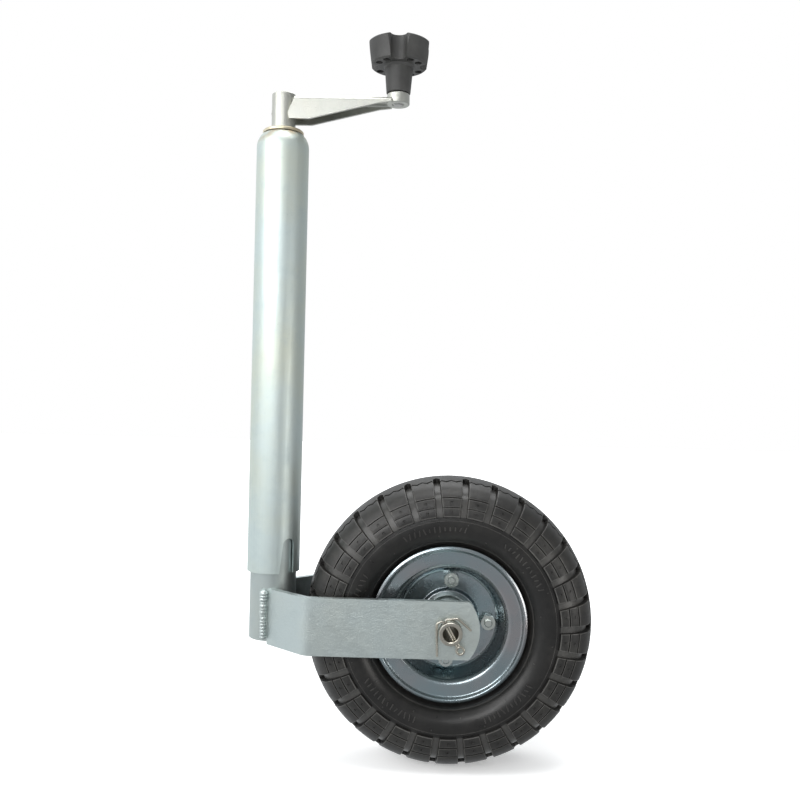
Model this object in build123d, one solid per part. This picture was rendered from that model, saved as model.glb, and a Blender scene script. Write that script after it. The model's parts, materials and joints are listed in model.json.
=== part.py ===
"""Trailer tongue jack: a 48 mm telescopic tube, a crank, and a pneumatic wheel in a two-arm fork.

Millimetres, +Z up.  The origin is on the axis of the outer tube, half way along it, where the
drawbar clamp grips.  +X points from the tube to the wheel, and the wheel's axle lies along Y.
"""
import os
from math import cos, radians, sin, sqrt

from build123d import *

# ---------------------------------------------------------------- driving dimensions
# outer tube
TUBE_R = 24.0
TUBE_WALL = 2.0
TUBE_LOW = -200.0
TUBE_TOP = 201.2
SHOULDER_LOW = 189.0
LIP_R = 19.0
SLOT_WIDTH = 11.6
SLOT_FOOT = 8.8
SLOT_DEPTH = 31.5
SLOT_ANGLE = -47.0

# inner tube
INNER_R = 21.0
INNER_WALL = 2.5
INNER_LOW = -260.8
INNER_TOP = 139.2

# spindle, thrust bearing and nut
SCREW_R = 10.0
SCREW_ROOT_R = 8.0
SCREW_PITCH = 4.0
SCREW_LOW = -116.0
NECK_R = 8.0
COLLAR_R = 15.0
COLLAR_LOW = 173.0
COLLAR_TOP = 178.0
RUNNING_GAP = 0.06
BALL_R = 2.5
BALL_RING_R = 13.5
BALL_COUNT = 12
BALL_Z = 183.5
RACE_HALF_GAP = 1.5
RACE_THICKNESS = 3.0
RACE_OUT_R = 17.5
GROOVE_R = 2.6
PLATE_THICKNESS = 5.0
NUT_LOW = 112.0
NUT_HEIGHT = 22.0
NUT_R = 17.9
STOP_R = 14.0
STOP_HEIGHT = 5.0

# crank
CRANK_RADIUS = 105.7
HUB_R = 11.0
HUB_TOP = 239.2
COVER_R = 18.8
COVER_LOW = 202.2
COVER_THICKNESS = 3.0
ARM_TOP = 236.0
ARM_HALF_WIDTH = 11.0
ARM_SHEET = 2.5
BOSS_R = 10.5
BOSS_LOW = 231.5
BOSS_TOP = 241.0

# knob
KNOB_BASE = 241.6
KNOB_HEAD_LOW = 266.5
KNOB_RIM = 285.6
KNOB_DOME_EDGE = 287.4
KNOB_TOP = 288.9
KNOB_R = 29.2
KNOB_LOW_R = 26.3
NECK_LOW_R = 11.1
NECK_TOP_R = 13.0
SCALLOP_R = 7.0
SCALLOP_AT = 26.0
SCALLOP_EDGE_R = 3.5
KNOB_PIN_R = 5.0
SNAP_LOW = 277.0
SNAP_HIGH = 280.0
SNAP_DEPTH = 1.2
PIN_TOP = 284.0
KNOB_HOLE_DEPTH = 14.0
KNOB_HOLE_R = 3.3
KNOB_HOLE_RING = 20.8
KNOB_HOLE_SPREAD = 14.0

# fork
FORK_STRIP = 6.0
FORK_INSIDE = 47.5
FORK_TOP = -213.5
FORK_HEIGHT = 50.0
FORK_SLANT = 40.8
FORK_BEND_X = 36.3
FORK_BEND_R = 11.0
FORK_OVERHANG = 25.4
FORK_END_R = 38.0

# wheel
WHEEL_X = 162.4
WHEEL_Z = -239.5
TYRE_R = 130.0
TYRE_HALF_WIDTH = 42.0
BEAD_R = 52.9
TREAD_SPLIT_R = 108.0
RIM_SHEET = 2.0
RIM_LIP_R = 70.2
HUB_HALF_LENGTH = 44.0
HUB_TUBE_R = 19.5
HUB_BORE_R = 16.5
FLANGE_R = 43.0
FLANGE_HALF = 1.5
AXLE_R = 10.0
AXLE_BORE_R = 6.8
AXLE_HALF_LENGTH = 62.2
BOLT_RING_R = 36.0
BOLT_COUNT = 4
BOLT_PHASE = -3.0
BOLT_R = 4.0
NUT_FLATS = 13.0
ROLLER_COUNT = 9
ROLLER_LENGTH = 22.0
CAGE_HALF_AT = 29.0

# split pins
PIN_WIRE_R = 1.0
PIN_Y = 57.8
PIN_SLOPE = 60.0

OUT = "parts"


# ---------------------------------------------------------------- helpers
def ring_z(outer, inner, low, high):
    """A plain ring or tube about Z."""
    height = high - low
    middle = Pos(0, 0, (low + high) / 2)
    return middle * (Cylinder(outer, height) - Cylinder(inner, height + 2))


def disc_z(radius, low, high):
    """A plain disc or rod about Z."""
    return Pos(0, 0, (low + high) / 2) * Cylinder(radius, high - low)


def rod_y(radius, low, high):
    """A rod about Y."""
    return Pos(0, (low + high) / 2, 0) * Rot(90, 0, 0) * Cylinder(radius, high - low)


def ring_y(outer, inner, low, high):
    """A ring about Y."""
    return rod_y(outer, low, high) - rod_y(inner, low - 1, high + 1)


def turned_z(outline):
    """Turn a closed outline of (radius, z) points or edges about Z."""
    return revolve(Plane.XZ * outline, Axis.Z)


def turned_y(outline):
    """Turn a closed outline of (radius, y) points or edges about Y."""
    return revolve(outline, Axis.Y)


def polygon(*points):
    """The face inside a closed line of points."""
    return make_face(Polyline(*points, close=True))


def around_z(count, radius, phase=0.0):
    """Evenly spaced places on a circle about Z."""
    return [Rot(0, 0, phase + 360 * i / count) * Pos(radius, 0, 0) for i in range(count)]


def around_y(count, radius, phase=0.0):
    """Evenly spaced places on a circle about Y, counted from +X towards +Z."""
    return [Rot(0, -(phase + 360 * i / count), 0) * Pos(radius, 0, 0) for i in range(count)]


def at_wheel(part):
    """Move a part drawn about the Y axis to the wheel's centre."""
    return Pos(WHEEL_X, 0, WHEEL_Z) * part


def hexagon_y(flats, low, high):
    """A hexagonal bar about Y with its corners turned off at the outer end (low)."""
    flat_outline = Plane.XZ * RegularPolygon(flats / 2, 6, major_radius=False)
    bar = Pos(0, high, 0) * extrude(flat_outline, high - low)
    corner_r = flats / sqrt(3) + 0.1
    rounding = polygon((0, low), (flats / 2, low), (corner_r, low + 1.3), (corner_r, high), (0, high))
    return bar & turned_y(rounding)


# ---------------------------------------------------------------- outer tube and its fixed pieces
def outer_tube():
    bore_r = TUBE_R - TUBE_WALL
    lip_bore = LIP_R - TUBE_WALL
    outside = Line((TUBE_R, TUBE_LOW), (TUBE_R, SHOULDER_LOW))
    shoulder = TangentArc((TUBE_R, SHOULDER_LOW), (LIP_R, TUBE_TOP), tangent=(0, 1))
    lip = Line((LIP_R, TUBE_TOP), (lip_bore, TUBE_TOP - 1.0))
    inner_shoulder = TangentArc((bore_r, SHOULDER_LOW), (lip_bore, TUBE_TOP - 1.0), tangent=(0, 1))
    inside = Line((bore_r, SHOULDER_LOW), (bore_r, TUBE_LOW))
    foot = Line((bore_r, TUBE_LOW), (TUBE_R, TUBE_LOW))
    tube = turned_z(make_face([outside, shoulder, lip, inner_shoulder, inside, foot]))
    slot_r = SLOT_WIDTH / 2
    straight = SLOT_DEPTH - slot_r
    slot = Pos(TUBE_R, 0, TUBE_LOW + straight / 2 - 1) * Box(12, SLOT_WIDTH, straight + 2)
    slot += Pos(TUBE_R, 0, TUBE_LOW + straight) * Rot(0, 90, 0) * Cylinder(slot_r, 12)
    flare = polygon((0, TUBE_LOW - 1), (-SLOT_FOOT, TUBE_LOW - 1), (-slot_r, TUBE_LOW + straight),
                    (0, TUBE_LOW + straight))
    slot += Pos(TUBE_R - 6, 0, 0) * extrude(Plane.YZ * flare, 12)
    for angle in (SLOT_ANGLE, SLOT_ANGLE + 180):
        tube -= Rot(0, 0, angle) * slot
    return tube


UPPER_RACE_LOW = BALL_Z + RACE_HALF_GAP
UPPER_RACE_TOP = UPPER_RACE_LOW + RACE_THICKNESS
LOWER_RACE_TOP = BALL_Z - RACE_HALF_GAP
LOWER_RACE_LOW = COLLAR_TOP
PLATE_LOW = UPPER_RACE_TOP
PLATE_TOP = PLATE_LOW + PLATE_THICKNESS
BUSH_R = 10.5
GROOVE = Pos(0, 0, BALL_Z) * Torus(BALL_RING_R, GROOVE_R)


def top_plate():
    rim_r = TUBE_R - TUBE_WALL - 0.05
    taper = 2.2
    outline = polygon((BUSH_R, PLATE_LOW), (rim_r, PLATE_LOW), (rim_r, PLATE_TOP - 4),
                      (rim_r - taper, PLATE_TOP), (BUSH_R, PLATE_TOP))
    return turned_z(outline)


def neck_bush():
    return ring_z(BUSH_R, NECK_R + RUNNING_GAP, PLATE_LOW, PLATE_TOP + 2)


def upper_race():
    return ring_z(RACE_OUT_R, 9.5, UPPER_RACE_LOW, UPPER_RACE_TOP) - GROOVE


# ---------------------------------------------------------------- turning spindle and crank
def spindle():
    """Collared spindle.  Each turn of its thread is drawn as one closed trapezoidal ridge."""
    crest = 1.3
    flank = (SCREW_PITCH / 2 - crest / 2) / 2
    points = [(0, HUB_TOP - 0.8), (NECK_R, HUB_TOP - 0.8), (NECK_R, COLLAR_TOP), (COLLAR_R, COLLAR_TOP)]
    points += [(COLLAR_R, COLLAR_LOW), (SCREW_ROOT_R, COLLAR_LOW)]
    turns = int((COLLAR_LOW - 8 - (SCREW_LOW + STOP_HEIGHT + 4)) / SCREW_PITCH)
    for turn in range(turns):
        middle = COLLAR_LOW - 8 - turn * SCREW_PITCH
        points.append((SCREW_ROOT_R, middle + crest / 2 + flank))
        points.append((SCREW_R, middle + crest / 2))
        points.append((SCREW_R, middle - crest / 2))
        points.append((SCREW_ROOT_R, middle - crest / 2 - flank))
    points += [(SCREW_ROOT_R, SCREW_LOW), (0, SCREW_LOW)]
    return turned_z(polygon(*points)) - crank_pin_hole()


CRANK_PIN_Z = 222.0
CRANK_PIN_R = 3.0
CRANK_PIN_BORE_R = 1.6
HUB_LOW = COVER_LOW + COVER_THICKNESS


def crank_pin_hole():
    return Pos(0, 0, CRANK_PIN_Z) * Rot(0, 90, 0) * Cylinder(CRANK_PIN_R, 60)


def spindle_stop():
    return ring_z(STOP_R, SCREW_ROOT_R, SCREW_LOW + 1, SCREW_LOW + 1 + STOP_HEIGHT)


def lower_race():
    return ring_z(RACE_OUT_R, NECK_R, LOWER_RACE_LOW, LOWER_RACE_TOP) - GROOVE


def cover_washer():
    edge = 1.0
    outline = polygon((NECK_R, COVER_LOW), (COVER_R - 0.4, COVER_LOW), (COVER_R, COVER_LOW + 0.5),
                      (COVER_R, HUB_LOW - edge), (COVER_R - edge, HUB_LOW), (NECK_R, HUB_LOW))
    return turned_z(outline)


def crank_hub():
    tube = ring_z(HUB_R, NECK_R, HUB_LOW, HUB_TOP)
    tube = chamfer(tube.edges().filter_by(GeomType.CIRCLE).group_by(Axis.Z)[-1], 0.7)
    return tube - crank_pin_hole()


def crank_pin():
    pin = Cylinder(CRANK_PIN_R - 0.05, 2 * HUB_R) - Cylinder(CRANK_PIN_BORE_R, 2 * HUB_R + 2)
    return Pos(0, 0, CRANK_PIN_Z) * Rot(0, 90, 0) * pin


def arm_outline(sheet):
    """Side outline of the crank channel; sheet lowers its top, for the hollow."""
    top = ARM_TOP - sheet
    return [(11.6, top), (CRANK_RADIUS - 6, top), (CRANK_RADIUS - 6, BOSS_LOW), (88.0, 230.0),
            (25.0, 214.4), (6.4, 214.4), (5.2, 219.5)]


def crank_arm():
    outside = extrude(Plane.XZ * polygon(*arm_outline(0)), ARM_HALF_WIDTH, both=True)
    long_edges = outside.edges().filter_by(Axis.X).group_by(Axis.Z)[-1]
    outside = fillet(long_edges, 4.0)
    hollow_points = [(11.6, ARM_TOP - ARM_SHEET), (CRANK_RADIUS - 6, ARM_TOP - ARM_SHEET),
                     (CRANK_RADIUS - 6, 200.0), (-5.0, 200.0), (-5.0, ARM_TOP - ARM_SHEET)]
    hollow = extrude(Plane.XZ * polygon(*hollow_points), ARM_HALF_WIDTH - ARM_SHEET, both=True)
    top_edges = hollow.edges().filter_by(Axis.X).group_by(Axis.Z)[-1]
    hollow = fillet(top_edges, 1.8)
    arm = outside - hollow - disc_z(HUB_R, 190, 250)
    return arm - Pos(CRANK_RADIUS, 0, 0) * disc_z(BOSS_R, 190, 250)


def crank_boss():
    boss = disc_z(BOSS_R, BOSS_LOW, BOSS_TOP)
    boss = fillet(boss.edges().group_by(Axis.Z)[-1], 1.0)
    boss = chamfer(boss.edges().group_by(Axis.Z)[0], 0.6)
    sink = turned_z(polygon((0, BOSS_LOW - 1), (KNOB_PIN_R + 1.2, BOSS_LOW - 1),
                            (KNOB_PIN_R, BOSS_LOW + 1.2), (KNOB_PIN_R, BOSS_TOP + 1), (0, BOSS_TOP + 1)))
    return Pos(CRANK_RADIUS, 0, 0) * (boss - sink)


def knob_pin():
    """Plain pin, peened over under the boss, with a neck near its top that keeps the knob on."""
    r = KNOB_PIN_R
    snap_r = r - SNAP_DEPTH
    outline = polygon((0, BOSS_LOW - 0.7), (r - 1.0, BOSS_LOW - 0.7), (r, BOSS_LOW + 0.4),
                      (r, SNAP_LOW - 1), (snap_r, SNAP_LOW), (snap_r, SNAP_HIGH), (r - 0.2, SNAP_HIGH + 1),
                      (snap_r, PIN_TOP), (0, PIN_TOP))
    return Pos(CRANK_RADIUS, 0, 0) * turned_z(outline)


# ---------------------------------------------------------------- knob
def knob_section():
    """Plan of the knob head: a disc with four rounded scallops."""
    plan = Circle(KNOB_R + 0.2)
    for quarter in range(4):
        plan -= Rot(0, 0, 90 * quarter) * Pos(SCALLOP_AT, 0) * Circle(SCALLOP_R)
    return fillet(plan.vertices(), SCALLOP_EDGE_R)


def knob():
    r = KNOB_R
    dome_edge = r - 1.3
    rise = KNOB_TOP - KNOB_DOME_EDGE
    dome_r = (dome_edge ** 2 + rise ** 2) / (2 * rise)
    middle_z = KNOB_TOP - dome_r + sqrt(dome_r ** 2 - (dome_edge / 2) ** 2)
    head_outline = make_face([
        Line((0, KNOB_HEAD_LOW), (KNOB_LOW_R - 1.2, KNOB_HEAD_LOW)),
        Line((KNOB_LOW_R - 1.2, KNOB_HEAD_LOW), (KNOB_LOW_R, KNOB_HEAD_LOW + 1.2)),
        Line((KNOB_LOW_R, KNOB_HEAD_LOW + 1.2), (r, KNOB_RIM)),
        ThreePointArc((r, KNOB_RIM), (r - 0.35, KNOB_RIM + 1.25), (dome_edge, KNOB_DOME_EDGE)),
        ThreePointArc((dome_edge, KNOB_DOME_EDGE), (dome_edge / 2, middle_z), (0, KNOB_TOP)),
        Line((0, KNOB_TOP), (0, KNOB_HEAD_LOW)),
    ])
    head = turned_z(head_outline)
    plan = extrude(Pos(0, 0, KNOB_HEAD_LOW - 2) * knob_section(), KNOB_TOP - KNOB_HEAD_LOW + 4)
    head = head & plan
    neck = turned_z(polygon((0, KNOB_BASE), (NECK_LOW_R - 0.6, KNOB_BASE), (NECK_LOW_R, KNOB_BASE + 0.6),
                            (NECK_TOP_R, KNOB_HEAD_LOW - 2), (NECK_TOP_R + 1.6, KNOB_HEAD_LOW),
                            (NECK_TOP_R + 1.6, KNOB_HEAD_LOW + 1), (0, KNOB_HEAD_LOW + 1)))
    body = head + neck
    for quarter in range(4):
        for spread in (-KNOB_HOLE_SPREAD, KNOB_HOLE_SPREAD):
            turn = Rot(0, 0, 45 + 90 * quarter + spread)
            hole = disc_z(KNOB_HOLE_R, KNOB_HEAD_LOW - 1, KNOB_HEAD_LOW + KNOB_HOLE_DEPTH)
            body -= turn * Pos(KNOB_HOLE_RING, 0, 0) * hole
    gap = 0.08
    bore_r = KNOB_PIN_R + gap
    snap_r = bore_r - SNAP_DEPTH
    end_z = PIN_TOP + 1.0
    bore = polygon((0, KNOB_BASE - 1), (bore_r, KNOB_BASE - 1), (bore_r, SNAP_LOW - 1 + gap),
                   (snap_r, SNAP_LOW + gap), (snap_r, SNAP_HIGH - gap), (bore_r - 0.2, SNAP_HIGH + 1 - gap),
                   (bore_r - 0.2, end_z), (0, end_z))
    return Pos(CRANK_RADIUS, 0, 0) * (body - turned_z(bore))


# ---------------------------------------------------------------- thrust bearing cage
def thrust_cage():
    cage = ring_z(16.6, 10.4, BALL_Z - 0.8, BALL_Z + 0.8)
    for place in around_z(BALL_COUNT, BALL_RING_R):
        cage -= place * Pos(0, 0, BALL_Z) * Cylinder(BALL_R + 0.08, 4)
    return cage


def thrust_balls():
    ball = Pos(0, 0, BALL_Z) * Sphere(BALL_R)
    return [place * ball for place in around_z(BALL_COUNT, BALL_RING_R)]


# ---------------------------------------------------------------- nut and inner tube
def spindle_nut():
    nut = ring_z(NUT_R, SCREW_R + RUNNING_GAP, NUT_LOW, NUT_LOW + NUT_HEIGHT)
    return chamfer(nut.edges().filter_by(GeomType.CIRCLE), 0.5)


def nut_retainer(low, high):
    """Ring pressed into the inner tube, which keeps the nut in place."""
    return ring_z(INNER_R - INNER_WALL, SCREW_R + 1.5, low, high)


def inner_tube():
    return ring_z(INNER_R, INNER_R - INNER_WALL, INNER_LOW, INNER_TOP)


# ---------------------------------------------------------------- fork
FORK_LOW = FORK_TOP - FORK_HEIGHT
SLANT_ALONG = (cos(radians(FORK_SLANT)), -sin(radians(FORK_SLANT)))
SLANT_OUT = (-sin(radians(FORK_SLANT)), -cos(radians(FORK_SLANT)))
FORK_OUTSIDE = FORK_INSIDE + FORK_STRIP
SLANT_FACE = FORK_OUTSIDE * cos(radians(FORK_SLANT)) - FORK_BEND_X * sin(radians(FORK_SLANT))
SLANT_MIDDLE = SLANT_FACE - FORK_STRIP / 2
FORK_END_X = WHEEL_X + FORK_OVERHANG


def slant_point(along, out):
    """Plan point on the slanted stretch of the near fork arm."""
    x = out * SLANT_OUT[0] + along * SLANT_ALONG[0]
    y = out * SLANT_OUT[1] + along * SLANT_ALONG[1]
    return (x, y)


def fork_arm():
    """Bent strip whose slanted end is cut to the round of the inner tube and welded on."""
    middle_y = -(FORK_INSIDE + FORK_STRIP / 2)
    start = slant_point(FORK_STRIP, SLANT_MIDDLE)
    run = (-middle_y - SLANT_MIDDLE * cos(radians(FORK_SLANT))) / sin(radians(FORK_SLANT))
    bend = slant_point(run, SLANT_MIDDLE)
    plan = FilletPolyline(start, bend, (FORK_END_X, middle_y), radius=FORK_BEND_R)
    strip = extrude(trace(plan, FORK_STRIP), FORK_HEIGHT)
    strip = Pos(0, 0, FORK_LOW) * strip
    half = FORK_HEIGHT / 2
    middle_z = FORK_LOW + half
    sagitta = FORK_END_R - sqrt(FORK_END_R ** 2 - half ** 2)
    corner_x = FORK_END_X - sagitta
    side = make_face([
        Line((-60, FORK_LOW), (corner_x, FORK_LOW)),
        ThreePointArc((corner_x, FORK_LOW), (FORK_END_X, middle_z), (corner_x, FORK_TOP)),
        Line((corner_x, FORK_TOP), (-60, FORK_TOP)),
        Line((-60, FORK_TOP), (-60, FORK_LOW)),
    ])
    side = fillet(side.vertices().group_by(Axis.X)[-1], 3.0)
    strip = strip & extrude(Plane.XZ * side, 80, both=True)
    strip -= disc_z(INNER_R, FORK_LOW - 5, FORK_TOP + 5)
    return strip - at_wheel(rod_y(AXLE_R + 0.25, -80, 80))


OUTER_WELD = (9.6, 19.0)
INNER_WELD = (19.2, 9.6)


def weld_beads():
    """Two upright fillet welds on each arm, in the corners outside and inside it."""
    near = fork_arm()
    tube = disc_z(INNER_R, INNER_LOW - 5, FORK_TOP + 20)
    beads = []
    for corner, radius in ((slant_point(*OUTER_WELD), 3.2), (slant_point(*INNER_WELD), 2.6)):
        bead = Pos(corner[0], corner[1], 0) * disc_z(radius, INNER_LOW + 1.5, FORK_TOP - 1.0)
        beads.append(bead - tube - near)
    mirrored = [mirror(bead, about=Plane.XZ) for bead in beads]
    return beads + mirrored


# ---------------------------------------------------------------- axle
def pin_hole(side):
    return Pos(0, side * PIN_Y, 0) * Rot(0, PIN_SLOPE - 90, 0) * Cylinder(2 * PIN_WIRE_R + 0.3, 60)


def axle():
    tube = ring_y(AXLE_R, AXLE_BORE_R, -AXLE_HALF_LENGTH, AXLE_HALF_LENGTH)
    tube = chamfer(tube.edges().filter_by(GeomType.CIRCLE), 0.5)
    return at_wheel(tube - pin_hole(-1) - pin_hole(1))


def axle_washers():
    washer = ring_y(17.0, AXLE_R + 0.1, HUB_HALF_LENGTH + 0.4, FORK_INSIDE - 0.1)
    return [at_wheel(washer), at_wheel(mirror(washer, about=Plane.XZ))]


def split_pin():
    """Split pin of two bent wires that share one eye, drawn in a plane across the near axle end."""
    slope = radians(PIN_SLOPE)
    along = (-cos(slope), sin(slope))
    across = (sin(slope), cos(slope))

    def spot(distance, offset):
        x = along[0] * distance + across[0] * offset
        z = along[1] * distance + across[1] * offset
        return (x, z)

    wire_gap = PIN_WIRE_R + 0.04
    left_leg = [spot(-13.0, -wire_gap), spot(12.4, -wire_gap), (-12.3, 8.0), (-11.2, -20.0)]
    right_leg = [spot(-13.0, wire_gap), spot(12.6, wire_gap), (6.2, 12.6), (17.5, 2.6)]
    wires = []
    for points, radii in ((left_leg, [1.6, 3.4]), (right_leg, [1.6, 4.0])):
        path = Plane.XZ * FilletPolyline(*points, radius=radii)
        section = Plane(path @ 0, z_dir=path % 0) * Circle(PIN_WIRE_R)
        wires.append(sweep(section, path))
    eye = Pos(spot(-17.0, 0)[0], 0, spot(-17.0, 0)[1]) * Rot(90, 0, 0) * Torus(3.2, PIN_WIRE_R)
    pin = wires[0] + wires[1]
    neck = []
    for side in (-1, 1):
        path = Plane.XZ * Line(spot(-13.0, side * wire_gap), spot(-14.9, side * 2.3))
        section = Plane(path @ 0, z_dir=path % 0) * Circle(PIN_WIRE_R)
        neck.append(sweep(section, path))
    return at_wheel(Pos(0, -PIN_Y, 0) * (pin + neck[0] + neck[1] + eye))


# ---------------------------------------------------------------- wheel
def rim_half():
    """Near half of the pressed rim, as one sheet with its visible face drawn as a line."""
    face_line = FilletPolyline(
        (21.6, -7.6), (25.7, -7.6), (27.8, -FLANGE_HALF - RIM_SHEET), (45.4, -FLANGE_HALF - RIM_SHEET),
        (50.6, -27.2), (64.2, -27.6), (67.0, -30.2), (RIM_LIP_R - 0.6, -29.2), (RIM_LIP_R, -26.6),
        radius=[1.2, 0.8, 3.5, 6.0, 2.4, 1.4, 0.9])
    sheet = offset(face_line, amount=RIM_SHEET, side=Side.LEFT, closed=True)
    half = turned_y(make_face(sheet))
    for place in around_y(BOLT_COUNT, BOLT_RING_R, BOLT_PHASE):
        half -= place * rod_y(BOLT_R + 0.2, -20, 20)
    return half


def hub_tube():
    return at_wheel(ring_y(HUB_TUBE_R, HUB_BORE_R, -HUB_HALF_LENGTH, HUB_HALF_LENGTH))


def hub_flange():
    """Round plate welded on the middle of the hub tube; both rim halves are bolted to it."""
    flange = ring_y(FLANGE_R, HUB_TUBE_R, -FLANGE_HALF, FLANGE_HALF)
    for place in around_y(BOLT_COUNT, BOLT_RING_R, BOLT_PHASE):
        flange -= place * rod_y(BOLT_R + 0.2, -20, 20)
    return at_wheel(flange)


WASHER_FACE = -(FLANGE_HALF + RIM_SHEET)
NUT_FACE = WASHER_FACE - 1.8


def rim_bolts():
    head_face = -WASHER_FACE
    shank = rod_y(BOLT_R - 0.4, NUT_FACE - 9.0, NUT_FACE - 6.5) + rod_y(BOLT_R, NUT_FACE - 6.5, head_face)
    tip = chamfer(shank.edges().filter_by(GeomType.CIRCLE).group_by(Axis.Y)[0], 0.7)
    head = mirror(hexagon_y(NUT_FLATS, -(head_face + 5.4), -head_face), about=Plane.XZ)
    bolt = tip + head
    return [at_wheel(place * bolt) for place in around_y(BOLT_COUNT, BOLT_RING_R, BOLT_PHASE)]


def rim_nuts():
    nut = hexagon_y(NUT_FLATS, NUT_FACE - 6.5, NUT_FACE) - rod_y(BOLT_R, -40, 40)
    return [at_wheel(place * nut) for place in around_y(BOLT_COUNT, BOLT_RING_R, BOLT_PHASE)]


def lock_washers():
    washer = ring_y(6.6, BOLT_R + 0.1, NUT_FACE, WASHER_FACE)
    return [at_wheel(place * washer) for place in around_y(BOLT_COUNT, BOLT_RING_R, BOLT_PHASE)]


ROLLER_RING_R = (HUB_BORE_R + AXLE_R) / 2
ROLLER_R = (HUB_BORE_R - AXLE_R) / 2 - 0.05


def rollers():
    roller = rod_y(ROLLER_R, CAGE_HALF_AT - ROLLER_LENGTH / 2, CAGE_HALF_AT + ROLLER_LENGTH / 2)
    placed = []
    for place in around_y(ROLLER_COUNT, ROLLER_RING_R):
        placed.append(at_wheel(place * roller))
        placed.append(at_wheel(mirror(place * roller, about=Plane.XZ)))
    return placed


def roller_cages():
    cage = ring_y(15.6, 10.9, CAGE_HALF_AT - 13.0, CAGE_HALF_AT + 13.0)
    low = CAGE_HALF_AT - ROLLER_LENGTH / 2 - 0.2
    high = CAGE_HALF_AT + ROLLER_LENGTH / 2 + 0.2
    for place in around_y(ROLLER_COUNT, ROLLER_RING_R):
        cage -= place * rod_y(ROLLER_R + 0.1, low, high)
    return [at_wheel(cage), at_wheel(mirror(cage, about=Plane.XZ))]


def tyre_section():
    """Section of the plain tyre casing, as (radius, y), open towards the rim."""
    half = [(BEAD_R, 14.0), (BEAD_R, 24.4), (57.0, 24.6), (64.0, 24.8), (69.2, 25.2), (72.6, 28.6),
            (79.4, 38.2), (92.0, TYRE_HALF_WIDTH), (106.0, 40.6), (117.0, 36.0), (124.6, 27.0),
            (128.6, 14.0), (TYRE_R, 0)]
    hollow = [(122.0, 0), (120.4, 14.0), (116.0, 26.0), (108.0, 34.4), (94.0, 37.4), (80.0, 34.0),
              (68.0, 22.0), (60.0, 15.0)]
    outside = Spline(*half[2:] + [(q[0], -q[1]) for q in reversed(half[2:-1])])
    inside_points = [(q[0], q[1]) for q in reversed(hollow)]
    inside_points += [(q[0], -q[1]) for q in hollow[1:]]
    inside = Spline(*inside_points)
    foot_far = Polyline(half[2], half[1], half[0], inside_points[0])
    foot_near = Polyline(inside_points[-1], (half[0][0], -half[0][1]), (half[1][0], -half[1][1]),
                         (half[2][0], -half[2][1]))
    return make_face([outside, inside, foot_far, foot_near])


def tyre_tread():
    """The tread band with its shoulders."""
    depth = TYRE_R + 10 - TREAD_SPLIT_R
    band = Pos(TREAD_SPLIT_R + depth / 2, 0) * Rectangle(depth, 4 * TYRE_HALF_WIDTH)
    return at_wheel(turned_y(tyre_section() & band))


def tyre_wall():
    """The near sidewall, from the tread band down to the bead on the rim."""
    half_plane = Pos(TREAD_SPLIT_R / 2, -TYRE_HALF_WIDTH) * Rectangle(TREAD_SPLIT_R, 2 * TYRE_HALF_WIDTH)
    return turned_y(tyre_section() & half_plane)


def air_tube():
    outer = [(54.2, 0), (57.0, 9.0), (67.2, 20.0), (79.6, 32.6), (94.0, 36.4), (107.4, 33.4), (115.2, 25.4),
             (119.4, 13.6), (120.8, 0)]
    loop = Spline(*outer + [(q[0], -q[1]) for q in reversed(outer[1:-1])], periodic=True)
    skin = make_face(loop)
    core = offset(loop, amount=-2.0)
    return at_wheel(turned_y(skin - make_face(core)))


VALVE_TILT = 42.0
VALVE_ANGLE = 62.0


def valve_parts(radius, low, high):
    """A rod on the valve's axis, from low to high along it, on the far half of the rim."""
    rod = Rot(0, 0, VALVE_TILT) * rod_y(radius, low, high)
    return Rot(0, -VALVE_ANGLE, 0) * Pos(49.0, 16.0, 0) * rod


def build():
    near_rim = rim_half()
    far_rim = mirror(near_rim, about=Plane.XZ) - valve_parts(4.3, -12, 12)
    near_arm = fork_arm()
    near_pin = split_pin()
    near_wall = tyre_wall()
    return {
        "outer_tube": outer_tube(),
        "top_plate": top_plate(),
        "neck_bush": neck_bush(),
        "thrust_race_upper": upper_race(),
        "spindle": spindle(),
        "spindle_stop": spindle_stop(),
        "thrust_race_lower": lower_race(),
        "cover_washer": cover_washer(),
        "crank_hub": crank_hub(),
        "crank_roll_pin": crank_pin(),
        "crank_arm": crank_arm(),
        "crank_boss": crank_boss(),
        "knob_pin": knob_pin(),
        "knob": knob(),
        "thrust_cage": thrust_cage(),
        "thrust_balls": thrust_balls(),
        "spindle_nut": spindle_nut(),
        "nut_retainer_upper": nut_retainer(NUT_LOW + NUT_HEIGHT + 0.3, NUT_LOW + NUT_HEIGHT + 4.3),
        "nut_retainer_lower": nut_retainer(NUT_LOW - 4.3, NUT_LOW - 0.3),
        "inner_tube": inner_tube(),
        "fork_arm_near": near_arm,
        "fork_arm_far": mirror(near_arm, about=Plane.XZ),
        "weld_beads": weld_beads(),
        "axle": axle(),
        "axle_washers": axle_washers(),
        "split_pin_near": near_pin,
        "split_pin_far": mirror(near_pin, about=Plane.XZ),
        "tyre_tread": tyre_tread(),
        "tyre_wall_near": at_wheel(near_wall),
        "tyre_wall_far": at_wheel(mirror(near_wall, about=Plane.XZ)),
        "air_tube": air_tube(),
        "valve_stem": at_wheel(valve_parts(4.1, 1.0, 14.0) + valve_parts(3.2, 14.0, 22.0)),
        "valve_cap": at_wheel(valve_parts(4.6, 22.0, 30.0)),
        "rim_half_near": at_wheel(near_rim),
        "rim_half_far": at_wheel(far_rim),
        "hub_tube": hub_tube(),
        "hub_flange": hub_flange(),
        "rim_bolts": rim_bolts(),
        "rim_nuts": rim_nuts(),
        "lock_washers": lock_washers(),
        "roller_cages": roller_cages(),
        "rollers": rollers(),
    }


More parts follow.
